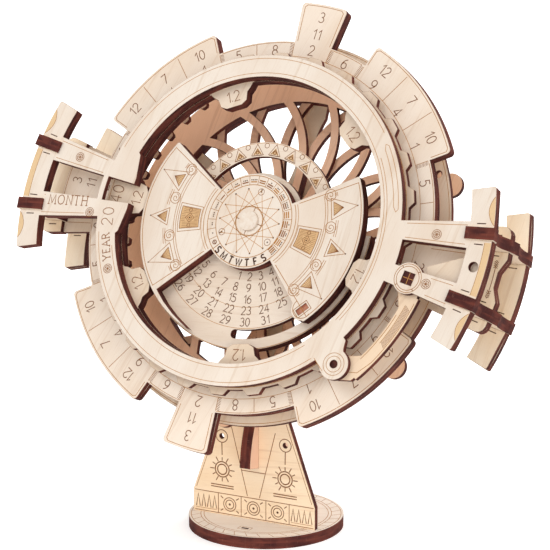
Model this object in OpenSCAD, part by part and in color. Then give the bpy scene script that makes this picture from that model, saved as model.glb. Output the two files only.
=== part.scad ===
// Perpetual desk calendar cut from thin plywood: a round base and an upright carry a
// leaning dial made of stacked plates. Millimetres, +Z up, front towards -Y.
// The origin is the middle of the base's underside.

/* [Sheet] */
// Thickness of the plywood sheet
ply = 2.4; // [2:0.1:3]
// Clearance between plates that move past each other
slip = 0.3; // [0.2:0.05:0.5]
// Clearance of a pin or tenon in its hole, each side
fit = 0.05; // [0.02:0.01:0.1]

/* [Base and stand] */
// Radius of the two round base discs
base_r = 32.2; // [28:1:40]
// Half width of the upright plate where it stands on the base
upright_half = 28.4; // [24:0.2:30]
// Half width of the upright plate at its top
upright_top_half = 16; // [14:0.2:20]
// Height at which the upright's sides start to slope inwards
upright_shoulder = 14.2; // [10:0.5:20]
// Height of the upright's top edge
upright_top = 49; // [44:0.5:49.5]
// Front face of the upright, measured from the middle of the base
upright_y = -11; // [-13:0.5:-9]
// Height at which the slot for the arm begins
slot_bottom = 27.3; // [22:0.1:30]

/* [Dial pose] */
// Height of the dial's centre at its front face
hub_z = 132.6; // [130:0.1:135]
// Distance of the dial's centre from the middle of the base
hub_y = -18.4; // [-20:0.1:-17]
// Backward lean of the dial
lean = 23.9; // [22:0.1:26]
// Turn of the dial about its own axis
roll = -5.9; // [-10:0.1:10]

/* [Frames] */
// Inner radius of the front frame's ring
frame_in = 58.8; // [57:0.1:60]
// Outer radius of the front frame's ring
frame_out = 67.9; // [66:0.1:70]
// Gap between the tall month tabs and the handle bars
bar_gap = 2.3; // [2:0.1:4]
// Width of the handle bars
bar_width = 9.7; // [8:0.1:12]
// Half angle that a handle bar spans
bar_half = 17.7; // [14:0.1:20]
// Half angle from the handle's axis to the outside of an arm
arm_half = 10.3; // [9:0.1:11]
// Half angle of the window between the two arms
window_half = 4.1; // [3:0.1:5]
// Half angle between the two cross plate pairs of a handle
cross_half = 7.5; // [7:0.1:9]
// Outer radius of the middle frame's ring
middle_out = 80.2; // [79:0.1:82]
// Depth of the middle frame behind the front face
middle_depth = 20.4; // [19:0.2:22]
// Teeth that the middle frame would have on a full circle, along its inner edge
frame_teeth = 42; // [36:1:48]
// Depth of the rear frame behind the front face
rear_depth = 41; // [40.5:0.5:43]

/* [Year ring] */
// Years on the ring, one tooth for each
sectors = 28; // [28]
// Radius over the ring's teeth
year_tip = 70.6; // [70:0.1:72]
// Radius between the ring's teeth
year_root = 68.3; // [67.8:0.1:69]
// Inner radius of the ring
year_in = 58.6; // [57:0.1:58.7]
// Radius at the end of a leap year lug
lug_in = 49.9; // [49:0.1:52]

/* [Month ring] */
// Radius of the low sectors
month_low = 77.2; // [76:0.1:78]
// Radius of the three-sector tabs
month_wide = 86.2; // [84:0.1:88]
// Radius of the one-sector tabs
month_tall = 94; // [90:0.1:94.4]
// Turn of the ring from the handle's axis
month_turn = -1.5; // [-6:0.1:6]

/* [Date disc and cover] */
// Width of the date disc outside the middle of its guide slot
date_overhang = 6.3; // [5.6:0.1:7]
// Radius of the weekday circle in the middle of the cover
weekday_r = 19.5; // [18:0.1:21]
// Distance of the guide slot's middle from the cover's edge
guide_inset = 4.6; // [4:0.1:5.2]

/* [Hand wheel] */
// Spokes on each plate of the hand wheel
spokes = 18; // [12:1:18]
// Inner radius of the wheel's rim
wheel_in = 59; // [57:0.1:61]
// Outer radius of the wheel's rim
wheel_out = 73.2; // [72:0.1:74]
// Radius of a finger lobe
lobe_r = 4.9; // [4:0.1:5.5]

/* [Hidden] */
$fn = 96;

pitch = 360 / sectors;
// Depths of the stacked plates' front faces behind the dial's front face
click_depth = ply;
cover_depth = 4.8;
axle_depth = cover_depth - 1.2;
year_depth = 5.4;
detent_depth = year_depth + ply;
month_depth = detent_depth + ply + slip;
flange_depth = month_depth + ply + slip;
hoop_depth = flange_depth - 2 * ply;
date_depth = 10.5;
rim_depth = date_depth + ply;
washer = 1.1;
wheel_depth = rear_depth - washer - slip - 2 * ply;
back_depth = rear_depth + ply;

// Radii of the parts that run on each other
bar_in = month_tall + bar_gap;
bar_out = bar_in + bar_width;
cross_inner = bar_in - 1.2;
cross_outer = bar_out + 2;
hoop_in = frame_in + 3.2;
hoop_out = hoop_in + 3;
peg_r = 2.5;
peg_ring_r = hoop_out + 5;
flange_out = peg_ring_r + peg_r + 1.5;
middle_in = peg_ring_r - peg_r - 1;
axle_r = 4;
sleeve_r = 8.4;
lobe_ring = 75.8;
month_in = hoop_out + 0.1;
cover_r = lug_in - slip;
guide_r = cover_r - guide_inset;
date_r = guide_r + date_overhang;
detent_out = hoop_in - 0.1;
cover_back = cover_depth + 2 * ply;

// Travel of the date disc: six columns from one end to the other
date_travel = 6 * pitch;
date_from = -176;
date_to = 6;
guide_angle = -41;
guide_w = 3.7;
peg_l = 5.2;
slot_half = date_travel / 2 + asin(peg_l / 2 / guide_r) + 0.6;

birch = "#efe3cf";
birch_tan = "#e2cfae";
birch_dark = "#c9ab86";

function polar(r, a) = [r * cos(a), r * sin(a)];
function bezier(p, n = 12) = [for (k = [0 : n]) let (t = k / n, u = 1 - t)
    u * u * u * p[0] + 3 * u * u * t * p[1] + 3 * u * t * t * p[2] + t * t * t * p[3]];

// Places what is drawn about the dial's axis at a depth behind the dial's front face
module on_dial(depth) {
    translate([0, hub_y, hub_z])
        rotate([90 - lean, 0, 0])
        rotate([0, 0, roll])
        translate([0, 0, -depth])
        children();
}

// Each outline is cut from the sheet, and they are joined into one plate
module sheet(thick = ply) {
    for (k = [0 : $children - 1]) linear_extrude(thick) children(k);
}

module through(thick = ply) {
    translate([0, 0, -1]) linear_extrude(thick + 2) children();
}

module dial_plate(depth, thick = ply) {
    on_dial(depth + thick) sheet(thick) children();
}

module wedge(reach, from, to) {
    polygon(concat([[0, 0]], [for (k = [0 : 8]) polar(reach, from + (to - from) * k / 8)]));
}

module ring(inner, outer) {
    difference() {
        circle(outer);
        circle(inner);
    }
}

// Part of a ring between two angles
module arc_band(inner, outer, from, to) {
    difference() {
        intersection() {
            circle(outer);
            wedge(outer * 1.2, from, to);
        }
        circle(inner);
    }
}

// Points of a rounded outer corner, on the side where the angle grows (1) or falls (-1)
function corner_points(outer, a, corner, side) = let (
    turn = asin(corner / (outer - corner)), middle = polar(outer - corner, a + side * turn))
    [for (k = [0 : 4]) middle + polar(corner, a - side * 90 + side * (78 + turn) * k / 4)];

// A tab between two angles, its outer corners rounded and its outer side a true arc
module round_tab(inner, outer, from, to, corner) {
    lead = 1.5 * asin(corner / (outer - corner));
    intersection() {
        circle(outer);
        polygon(concat([polar(inner, from)], corner_points(outer, from, corner, 1),
            [for (k = [0 : 4]) polar(outer * 1.1, from + lead + (to - from - 2 * lead) * k / 4)],
            [for (k = [4 : -1 : 0]) corner_points(outer, to, corner, -1)[k]],
            [polar(inner, to)]));
    }
}

module half_slot(inner, outer, a, width) {
    rotate(a) translate([inner, -width / 2]) square([outer - inner, width]);
}

// ---- base and stand ----

module base_disc() {
    difference() {
        circle(base_r);
        for (side = [-1, 1])
            translate([side * 18 - 4 - fit, upright_y - fit])
                square([8 + 2 * fit, ply + 2 * fit]);
        for (y = [-8, 9])
            translate([-ply - fit, y - fit]) square([2 * (ply + fit), 6 + 2 * fit]);
        translate([0.4, -22.4]) square([3.2, 1.2]);
    }
}

module base_disc_lower() {
    color(birch_tan) linear_extrude(ply) base_disc();
}

module base_disc_upper() {
    color(birch_tan) translate([0, 0, ply]) linear_extrude(ply) base_disc();
}

module base_key() {
    color(birch_dark) translate([0.4 + fit, -22.4 + fit, 0.2])
        cube([3.2 - 2 * fit, 1.2 - 2 * fit, 2 * ply - 0.8]);
}

module stand_upright() {
    base = 2 * ply;
    color(birch_tan)
    translate([0, upright_y + ply, 0]) rotate([90, 0, 0]) difference() {
        union() {
            linear_extrude(ply) polygon([[-upright_half, base], [upright_half, base],
                [upright_half, upright_shoulder], [upright_top_half, upright_top],
                [-upright_top_half, upright_top], [-upright_half, upright_shoulder]]);
            for (side = [-1, 1]) translate([side * 18 - 4, 0.1, 0]) cube([8, base, ply]);
        }
        through() translate([-ply - fit, slot_bottom])
            square([2 * (ply + fit), upright_top]);
        for (side = [-1, 1]) through() translate([side * 14.8, 38.7]) circle(1.2);
    }
}

// Point of the dial's middle plane, seen from the side as [y, z]
function side_point(depth, up) = [
    hub_y + depth * cos(lean) + up * sin(lean),
    hub_z - depth * sin(lean) + up * cos(lean)];

// The arm's outline seen from the side: a nose in front of the upright, a spine behind
// the dial and a foot
module arm_outline() {
    front = upright_y;
    back = upright_y + ply + fit;
    polygon(concat(
        [[back, 2 * ply], [back, slot_bottom + fit], [front, slot_bottom + fit],
         [front - 7.2, slot_bottom + 1.5]],
        bezier([[front - 7.3, slot_bottom + 1.7], [front - 6.6, 37], [front - 5, 41],
            [front - 3.4, 45.4]]),
        bezier([[front - 3.2, 46], [front - 2.6, 47.6], [front + 0.6, 48.4],
            side_point(back_depth, -71.6)]),
        [side_point(back_depth, 16)],
        bezier([side_point(back_depth + 5, 18), side_point(back_depth + 12, 6),
            side_point(back_depth + 13, -20), side_point(back_depth + 12, -52)]),
        bezier([side_point(back_depth + 11.6, -60), [19, 46], [20, 24],
            [24, 2 * ply + 5]]),
        [[24, 2 * ply]]));
}

module stand_arm(side) {
    translate([side > 0 ? 0 : -ply, 0, 0]) rotate([90, 0, 90]) difference() {
        union() {
            linear_extrude(ply) arm_outline();
            for (y = [-8, 9]) translate([y, 0.1, 0]) cube([6, 3 * ply, ply]);
            for (up = [-22, 12]) linear_extrude(ply) polygon([
                side_point(rear_depth - 0.8, up), side_point(back_depth + 1, up),
                side_point(back_depth + 1, up + 7), side_point(rear_depth - 0.8, up + 7)]);
        }
        for (k = [0 : 2]) through() translate(side_point(back_depth + 6.4, -8 - 18 * k))
            circle(2.4);
    }
}

module stand_arm_left() { color(birch_tan) stand_arm(-1); }
module stand_arm_right() { color(birch_tan) stand_arm(1); }

// ---- frames and handles ----

module handle_arms(inner, half, opening) {
    for (side = [0, 180], level = [-1, 1])
        arc_band(inner, bar_in + 0.5, side + min(level * half, level * opening),
            side + max(level * half, level * opening));
}

module handle_bars() {
    for (side = [0, 180]) difference() {
        round_tab(bar_in - 8, bar_out, side - bar_half, side + bar_half, 0.8);
        circle(bar_in);
    }
}

// Open slots in a handle bar, in which the cross plates sit
module cross_slots(outer) {
    middle = (bar_in + bar_out) / 2;
    for (side = [0, 180], level = [-1, 1])
        half_slot(middle, outer + 2, side + level * cross_half, 2 * (ply + fit));
}

module click_lug(reach) {
    translate(polar(73.7, -40.4)) circle(reach);
    intersection() {
        polygon([polar(frame_in + 1, -45.6), polar(frame_in + 1, -32.2),
            polar(69.4, -33), polar(71.4, -35.2), polar(73.7, -36.8), polar(73.7, -44.6)]);
        ring(frame_in, 90);
    }
}

module front_frame() {
    color(birch) on_dial(ply) difference() {
        sheet() {
            ring(frame_in, frame_out);
            handle_arms(frame_in + 2, arm_half, window_half);
            handle_bars();
            click_lug(6.1);
            translate(polar(76.7, -6.9)) circle(6.2);
            arc_band(frame_out - 2, 69.7, -arm_half, arm_half);
            arc_band(frame_out - 3, 69.7, 180 - arm_half, 180 + arm_half);
            year_cheeks();
        }
        through() arc_band(frame_in - 6, 67.3, 180 - 4.3, 180 + 4.3);
        through() cross_slots(bar_out);
        through() translate(polar(100.9, 0.2)) circle(2);
        through() translate(polar(73.7, -40.4)) circle(1.6 + fit);
        through() translate(polar(76.7, -6.9)) rotate(-6.9)
            square(2 * (ply + fit), center = true);
    }
}

// Second ply of the front ring, open at the year window
module frame_backing() {
    color(birch_dark) on_dial(2 * ply) difference() {
        sheet() {
            ring(frame_in, frame_out - 0.5);
            year_cheeks();
        }
        through() arc_band(frame_in - 6, frame_out + 2, 180 - 4.3, 180 + 4.3);
    }
}

// The ring widens inwards on both sides of the year window
module year_cheeks() {
    polygon([for (a = [197.5, 196.4, 187, 180, 173, 163.6, 162.5]) polar(
            abs(a - 180) < 8 ? 54.4 : (abs(a - 180) < 17 ? 57.6 : 59.4), a),
        polar(65, 165), polar(65, 180), polar(65, 195)]);
}

module click_arm() {
    color(birch_tan) on_dial(click_depth + ply) difference() {
        sheet() {
            translate(polar(73.7, -40.4)) circle(5.6);
            translate(polar(76.7, -6.9)) circle(5.2);
            arc_band(77.5, 83.3, -38, -11);
            polygon([polar(73.7, -36), polar(79, -31.5), polar(82.6, -35),
                polar(82.4, -39.2), polar(78.6, -42.6), polar(73, -42.6)]);
            polygon([polar(77, -3.2), polar(81.6, -6), polar(82.8, -12), polar(78, -16),
                polar(73, -10)]);
        }
        through() translate(polar(73.7, -40.4)) circle(1.6 + fit);
        through() translate(polar(76.7, -6.9)) rotate(-6.9)
            square(2 * (ply + fit), center = true);
    }
}

module click_arm_key() {
    color(birch_dark) for (side = [0, 1])
        on_dial(2 * ply) translate(polar(76.7, -6.9)) rotate(-6.9)
            translate([-ply, side ? 0.02 : -ply, 0]) cube([2 * ply, ply - 0.02, 2 * ply - 0.4]);
}

module click_arm_pin() {
    color(birch_dark) on_dial(2 * ply) translate(polar(73.7, -40.4))
        cylinder(h = 2 * ply - 0.8, r = 1.6);
}

// Handle bar of the middle frame: round ends and a notch in its outer side
module waisted_bar(side) {
    reach = 11.8;
    outer = bar_out + 0.2;
    difference() {
        round_tab(bar_in - 8, outer, side - reach, side + reach, 3.4);
        circle(bar_in);
        rotate(side) polygon([polar(103.5, -1.7), polar(103.5, 1.7), polar(outer + 0.4, 4.8),
            [outer + 6, 0], polar(outer + 0.4, -4.8)]);
    }
}

// Teeth along the middle frame's inner edge
module frame_tooth_row() {
    for (k = [0 : frame_teeth - 1]) rotate((k + 0.75) * 360 / frame_teeth)
        polygon([[middle_in + 0.6, -2.2], [middle_in - 1.9, -1.7], [middle_in - 2.8, -1],
            [middle_in - 2.8, 1], [middle_in - 1.9, 1.7], [middle_in + 0.6, 2.2]]);
}

module middle_frame() {
    color(birch) on_dial(middle_depth + ply) difference() {
        sheet() {
            ring(middle_in, middle_out);
            handle_arms(middle_in + 3, 11.6, window_half);
            waisted_bar(0);
            waisted_bar(180);
            frame_tooth_row();
        }
        through() cross_slots(bar_out);
        for (k = [0 : 7]) through() translate(polar(peg_ring_r, 22.5 + 45 * k))
            circle(peg_r + fit);
        for (k = [0 : 5]) through() translate(polar(76.4, 28.6 + 60 * k)) circle(1.5);
    }
}

module rear_frame() {
    color(birch) on_dial(rear_depth + ply) difference() {
        sheet() {
            ring(60, 70);
            handle_arms(62, arm_half, window_half);
            handle_bars();
            circle(17);
            rotate(-roll) translate([-8, -62]) square([16, 62]);
            for (k = [0 : 4]) rotate(-roll + 270 + 60 * (k + 1)) rear_spoke();
        }
        through() cross_slots(bar_out);
        through() circle(axle_r + fit);
        rotate(-roll) for (up = [-22, 12])
            through() translate([-ply - fit, up - fit])
                square([2 * (ply + fit), 7 + 2 * fit]);
    }
}

// Waisted spoke between the rear frame's hub and its ring
module rear_spoke() {
    difference() {
        translate([12, -6]) square([50, 12]);
        for (side = [-1, 1]) translate([39, side * 42]) circle(39);
    }
}

// Side of a cross plate, as [radius, depth]: wide where it grips a bar, narrower between
module cross_outline() {
    ends = [-1.4, back_depth + 1.2];
    inner = cross_inner;
    outer = cross_outer;
    waist = 2.2;
    middle = middle_depth + ply / 2;
    grip = (bar_in + bar_out) / 2;
    difference() {
        polygon(concat(
            [[inner, ends[0]], [outer - 1, ends[0]]],
            bezier([[outer - 1, 2.6], [outer - 3.9, 7], [outer - 3.9, 12], [outer - 1, 17]]),
            [[outer, 23.4]],
            bezier([[outer, 24], [outer - 2.4, 29], [outer - 2.6, 36], [outer - 1.6, 40]]),
            [[outer - 1.8, ends[1]], [inner, ends[1]], [inner, rear_depth - 3]],
            bezier([[inner, rear_depth - 3], [inner + waist, rear_depth - 7],
                [inner + waist, middle + 7], [inner, middle + 3]]),
            [[inner, middle - 3]],
            bezier([[inner, middle - 3], [inner + waist, 14], [inner + waist, 8], [inner, 5]])));
        for (depth = [0, middle_depth, rear_depth])
            translate([inner - 1, depth - fit])
                square([grip - inner + 1 + fit, ply + 2 * fit]);
    }
}

// One ply of a cross plate pair; side -1 or 1 says on which side of the pair it lies
module cross_plate(a, side) {
    color(birch_dark) on_dial(0) rotate([0, 0, a])
        translate([0, side > 0 ? ply : 0, 0]) rotate([90, 0, 0])
        linear_extrude(ply) mirror([0, 1]) cross_outline();
}

// ---- year ring ----

module year_tooth(k) {
    rotate((k + 0.5) * pitch)
        polygon([polar(year_root - 1, -3.9), polar(year_root, -3.7), polar(year_tip, -2.1),
            polar(year_tip, 2.1), polar(year_root, 3.7), polar(year_root - 1, 3.9)]);
}

// Lugs mark the leap years of each half of the ring's four-year steps
module leap_lug(k) {
    side = [[year_in + 2, 10.8], [year_in - 0.2, 10.1], [year_in - 2.4, 8.4],
        [year_in - 4, 6.6], [lug_in + 1.4, 5.8], [lug_in, 3.4]];
    rotate(180.7 - k * 5 * pitch)
        polygon(concat([for (p = side) [p[0], -p[1]]], [for (j = [5 : -1 : 0]) side[j]]));
}

module year_ring() {
    color(birch_tan) dial_plate(year_depth) {
        difference() {
            circle(year_root);
            difference() {
                circle(year_in);
                for (k = [0 : 5]) leap_lug(k);
            }
        }
        for (k = [0 : sectors - 1]) year_tooth(k);
    }
}

module year_detent_ring() {
    color(birch_dark) dial_plate(detent_depth)
    difference() {
        circle(detent_out);
        difference() {
            circle(year_in);
            for (k = [0 : 5]) leap_lug(k);
        }
    }
}

// ---- month ring and what it runs on ----

module ring_hoop_front() {
    color(birch_tan) dial_plate(hoop_depth) ring(hoop_in, hoop_out);
}

module ring_hoop_rear() {
    color(birch_tan) dial_plate(hoop_depth + ply) ring(hoop_in, hoop_out);
}

module ring_flange() {
    color(birch_tan) dial_plate(flange_depth)
    difference() {
        ring(hoop_in, flange_out);
        for (k = [0 : 7]) translate(polar(peg_ring_r, 22.5 + 45 * k)) circle(peg_r + fit);
    }
}

module flange_pegs() {
    color(birch_dark) for (k = [0 : 7])
        on_dial(middle_depth + ply) translate(polar(peg_ring_r, 22.5 + 45 * k))
            cylinder(h = middle_depth + ply - flange_depth - 0.1, r = peg_r);
}

module month_ring() {
    color(birch_tan) on_dial(month_depth + ply) rotate(90 + month_turn) difference() {
        union() {
            cylinder(h = ply, r = month_low);
            for (k = [0 : 3]) rotate(90 * k) sheet() {
                round_tab(hoop_in, month_tall, -pitch / 2, pitch / 2, 1.6);
                round_tab(hoop_in, month_wide, -pitch * 4.5, -pitch * 1.5, 1.6);
            }
        }
        through() circle(month_in);
    }
}

// ---- cover, date disc and axle ----

module guide_peg_outline(grow = 0) {
    rotate(guide_angle) translate([guide_r, 0])
        square([ply + 2 * grow, peg_l + 2 * grow], center = true);
}

// Both plies of the cover: the weekday circle, two wings, the lobe over the guide slot
// and a sickle along the lower left of the date window
module cover_ply() {
    difference() {
        sheet() {
            circle(weekday_r);
            round_tab(5, cover_r, 148.5, 227.5, 0.8);
            round_tab(5, cover_r, -44, 32.5, 0.8);
            translate(polar(guide_r - 0.3, guide_angle)) circle(cover_r - guide_r + 0.2);
            intersection() {
                circle(cover_r);
                polygon([polar(cover_r - 1.7, 226), polar(cover_r - 1.4, 235),
                    polar(cover_r - 1, 243), polar(cover_r - 0.5, 250),
                    polar(cover_r + 1, 259), polar(cover_r + 6, 240), polar(cover_r + 2, 226)]);
            }
        }
        through() circle(axle_r + fit);
        through() guide_peg_outline(fit);
    }
}

module dial_cover() {
    color(birch) on_dial(cover_depth + ply) cover_ply();
}

module cover_backing() {
    color(birch_dark) on_dial(cover_depth + 2 * ply) cover_ply();
}

module cover_peg() {
    color(birch_dark) dial_plate(cover_depth + 0.3, date_depth + ply - cover_depth - 0.1)
        guide_peg_outline();
}

module cover_spacer() {
    color(birch_tan) dial_plate(cover_back, date_depth - slip - cover_back)
        ring(axle_r + fit, 7.4);
}

module axle_dowel() {
    color(birch) on_dial(back_depth) cylinder(h = back_depth - axle_depth, r = axle_r);
}

module date_disc() {
    color(birch_tan) dial_plate(date_depth)
    difference() {
        union() {
            arc_band(10, date_r, date_from, date_to);
            ring(28.3, 34.4);
            circle(21.4);
        }
        circle(axle_r + 0.08);
        arc_band(guide_r - guide_w / 2, guide_r + guide_w / 2,
            guide_angle - slot_half, guide_angle + slot_half);
        for (end = [-1, 1]) translate(polar(guide_r, guide_angle + end * slot_half))
            circle(guide_w / 2);
    }
}

// Second ply behind the date disc's outer edge
module date_rim() {
    color(birch_tan) dial_plate(rim_depth)
        arc_band(guide_r + guide_w / 2 + 0.8, date_r, date_from, date_to);
}

module date_sleeve() {
    color(birch_dark) dial_plate(date_depth + ply, wheel_depth - date_depth - ply)
        ring(axle_r + 0.08, sleeve_r);
}

// Spoke with a straight stem that bends into an arc towards the rim
module rose_spoke(half_w = 1.75) {
    bend = 38.2;
    stem = 28;
    translate([8, -half_w]) square([stem - 8, 2 * half_w]);
    intersection() {
        translate([stem, bend]) ring(bend - half_w, bend + half_w);
        translate([stem, -half_w]) square([40, 30]);
        circle(wheel_in + 2);
    }
}

module rose_wheel() {
    difference() {
        sheet() {
            ring(wheel_in, wheel_out);
            circle(14);
            for (k = [0 : spokes - 1]) rotate(91.4 + k * 360 / spokes) rose_spoke();
            children();
        }
        through() circle(axle_r + 0.08);
    }
}

module hand_wheel_front() {
    color(birch) on_dial(wheel_depth + ply) rose_wheel() {
        for (k = [0 : 5]) rotate(28.3 + 60 * k) {
            translate([lobe_ring, 0]) circle(lobe_r);
            translate([lobe_ring - 6, -lobe_r]) square([6, 2 * lobe_r]);
        }
    }
}

module hand_wheel_rear() {
    color(birch_dark) on_dial(wheel_depth + 2 * ply)
        rotate(2 * 91.4) mirror([0, 1]) rose_wheel() circle(1);
}

module rear_washer() {
    front = wheel_depth + 2 * ply + slip;
    color(birch_tan) dial_plate(front, rear_depth - front) ring(axle_r + fit, 8);
}

base_disc_lower();
base_disc_upper();
base_key();
stand_upright();
stand_arm_left();
stand_arm_right();
front_frame();
frame_backing();
middle_frame();
rear_frame();
cross_plate(180 - cross_half, -1);  // cross_plate_left_upper_a
cross_plate(180 - cross_half, 1);  // cross_plate_left_upper_b
cross_plate(180 + cross_half, -1);  // cross_plate_left_lower_a
cross_plate(180 + cross_half, 1);  // cross_plate_left_lower_b
cross_plate(cross_half, -1);  // cross_plate_right_upper_a
cross_plate(cross_half, 1);  // cross_plate_right_upper_b
cross_plate(-cross_half, -1);  // cross_plate_right_lower_a
cross_plate(-cross_half, 1);  // cross_plate_right_lower_b
click_arm();
click_arm_key();
click_arm_pin();
year_ring();
year_detent_ring();
ring_hoop_front();
ring_hoop_rear();
ring_flange();
flange_pegs();
month_ring();
dial_cover();
cover_backing();
cover_peg();
cover_spacer();
axle_dowel();
date_disc();
date_rim();
date_sleeve();
hand_wheel_front();
hand_wheel_rear();
rear_washer();
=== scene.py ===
# Perpetual desk calendar of laser-cut plywood: its finishes and its engraving.
import math

import bpy
import numpy as np
from mathutils import Matrix, Vector


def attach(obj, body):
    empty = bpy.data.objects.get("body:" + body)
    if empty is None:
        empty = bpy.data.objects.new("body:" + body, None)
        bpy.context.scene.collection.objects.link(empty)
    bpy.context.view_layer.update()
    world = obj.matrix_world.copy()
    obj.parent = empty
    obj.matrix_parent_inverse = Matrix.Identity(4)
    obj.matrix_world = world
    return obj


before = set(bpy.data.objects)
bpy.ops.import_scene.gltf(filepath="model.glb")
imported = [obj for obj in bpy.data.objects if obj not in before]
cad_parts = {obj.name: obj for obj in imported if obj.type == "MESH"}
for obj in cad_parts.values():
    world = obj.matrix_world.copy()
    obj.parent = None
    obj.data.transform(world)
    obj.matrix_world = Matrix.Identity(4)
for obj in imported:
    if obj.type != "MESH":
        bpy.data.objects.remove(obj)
bpy.context.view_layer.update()

scene, nodes = bpy.context.scene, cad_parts
print("frame loaded:", len(nodes), "cut pieces")


class Kit(dict):
    # a dictionary of settings whose entries are also read as kit.name
    __getattr__ = dict.__getitem__


dial = Kit(hub=(0.0, -18.4, 132.6), lean=23.9, roll=-5.9, crossHalf=7.5)
sheetThick = 2.4
sector = 360 / 28        # the rings and the columns of dates are divided into 28


def place(name, data):
    thing = bpy.data.objects.new(name, data)
    scene.collection.objects.link(thing)
    return thing


class Face:
    # a flat face: origin + x * right + y * up in millimetres, and out is its normal
    def __init__(self, origin, right, up):
        self.origin, self.right, self.up = (np.array(v, float) for v in (origin, right, up))
        self.out = np.cross(self.right, self.up)

    def at(self, points, lift=0.0):
        p = np.asarray(points, float)
        return (self.origin + p[..., :1] * self.right + p[..., 1:2] * self.up
                + lift * self.out) / 1000


def dialFace(depth):
    # the dial's plane leans back by lean and is turned by roll; depth goes back along its axis
    lean, roll = math.radians(dial.lean), math.radians(dial.roll)
    across = np.array([1.0, 0, 0])
    rise = np.array([0, math.sin(lean), math.cos(lean)])
    back = np.array([0, math.cos(lean), -math.sin(lean)])
    return Face(np.array(dial.hub) + depth * back, math.cos(roll) * across + math.sin(roll) * rise,
                math.cos(roll) * rise - math.sin(roll) * across)


class Wire:
    # a node's output that takes part in sums: each operator adds one Math node
    def __init__(self, recipe, out):
        self.recipe, self.out = recipe, out

    def math(self, operation, *terms):
        return self.recipe.add("Math", {"operation": operation}, dict(enumerate(terms)))

    def __add__(self, other): return self.math("ADD", self, other)
    def __radd__(self, other): return self.math("ADD", other, self)
    def __sub__(self, other): return self.math("SUBTRACT", self, other)
    def __rsub__(self, other): return self.math("SUBTRACT", other, self)
    def __mul__(self, other): return self.math("MULTIPLY", self, other)
    def __rmul__(self, other): return self.math("MULTIPLY", other, self)
    def __truediv__(self, other): return self.math("DIVIDE", self, other)
    def __abs__(self): return self.math("ABSOLUTE", self)
    def __gt__(self, other): return self.math("GREATER_THAN", self, other)

    def smooth(self, low, high):
        # 0 below low, 1 above high, and smooth between them
        return self.recipe.add("MapRange", {"interpolation_type": "SMOOTHSTEP"},
                               {"Value": self, "From Min": low, "From Max": high})


class Recipe:
    # a material or a world whose nodes are added one expression at a time
    def __init__(self, owner):
        self.owner = owner
        owner.use_nodes = True
        self.tree = owner.node_tree
        self.tree.nodes.clear()

    def add(self, kind, settings=None, values=None, pick=0):
        node = self.tree.nodes.new("ShaderNode" + kind)
        for key, value in (settings or {}).items():
            setattr(node, key, value)
        for key, value in (values or {}).items():
            if isinstance(value, Wire):
                self.tree.links.new(value.out, node.inputs[key])
            else:
                node.inputs[key].default_value = value
        return Wire(self, node.outputs[pick]) if node.outputs else node

    def dot(self, vector, direction):
        return self.add("VectorMath", {"operation": "DOT_PRODUCT"},
                        {0: vector, 1: direction}, "Value")

    def vector(self, x, y, z):
        return self.add("CombineXYZ", {}, {0: x, 1: y, 2: z})

    def noise(self, vector, detail=2.0, rough=0.5):
        return self.add("TexNoise", {},
                        {"Vector": vector, "Scale": 1.0, "Detail": detail, "Roughness": rough})

    def mix(self, factor, first, second):
        # sockets 6 and 7 of a Mix node are its two colours, and output 2 is the result
        return self.add("Mix", {"data_type": "RGBA"}, {0: factor, 6: first, 7: second}, 2)

    def finish(self, colour, rough, specular, height, strength):
        bump = self.add("Bump", {}, {"Strength": strength, "Distance": 0.0001, "Height": height})
        surface = self.add("BsdfPrincipled", {}, {
            "Base Color": colour, "Roughness": rough, "Specular IOR Level": specular,
            "Normal": bump})
        self.add("OutputMaterial", {}, {"Surface": surface})
        return self.owner


def colour(display):
    # a display colour of 0 to 255 as the linear colour that Blender works in
    c = np.array(display) / 255
    return (*np.where(c <= 0.04045, c / 12.92, ((c + 0.055) / 1.055) ** 2.4), 1.0)


birch = {
    # tone: the light, the middle and the dark of its grain
    # painted light: the white tone is lighter than the birch, so the base discs look lit though
    # the dial shades them
    "white": ((250, 243, 234), (244, 234, 222), (218, 194, 168)),
    "pale": ((240, 229, 216), (232, 216, 199), (206, 178, 148)),
    "fair": ((247, 233, 217), (240, 222, 202), (210, 178, 146)),
    # painted light: a lighter cream birch for the rear frame and the bars behind the front, so
    # these plates look lit though they sit in shade
    "lit_cream": ((252, 238, 216), (244, 224, 196), (212, 180, 144)),
    "warm": ((243, 226, 206), (234, 213, 188), (204, 170, 135)),
    # painted light: a lighter, yellower birch for the upright, so it looks lit though the dial
    # shades it
    "lit_honey": ((252, 230, 200), (244, 216, 180), (210, 172, 132)),
    "tan": ((244, 219, 190), (234, 205, 172), (202, 164, 126)),
    # painted shade: a pink tone for the warm shade on the hand wheels deep behind the front plates
    "shade_rose": ((254, 214, 184), (243, 200, 168), (202, 154, 122)),
    "shaded": ((246, 206, 180), (234, 191, 165), (190, 144, 118)),
    "reddened": ((190, 132, 106), (160, 92, 68), (104, 50, 40)),
    "charred": ((92, 46, 38), (66, 30, 26), (44, 20, 18)),
}
burnt = Kit(deep=(72, 32, 30), rich=(114, 57, 46), ash=(150, 106, 88), rim=(150, 108, 74))
grainLayers = {
    # layer: waves per mm along and across the grain, seed, detail, roughness, range, strength
    "figure": (0.022, 0.42, 7, 2.0, 0.6, (0.54, 0.70), 0.30),
    "streak": (0.16, 3.2, 13, 3.0, 0.6, (0.50, 0.80), 0.26),
    "fleck": (0.55, 7.0, 21, 1.0, 0.4, (0.66, 0.74), 0.22),
}
plyLook = Kit(
    cloud=(0.016, 0.05), ruled=2.6, patchy=0.11, core=(0.14, 0.20), ashShare=0.55,
    coreShare=0.30, rimShare=0.75, rimReach=0.00045, faceLimit=0.7, rough=0.78, specular=0.25,
    bump=0.28)


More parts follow.
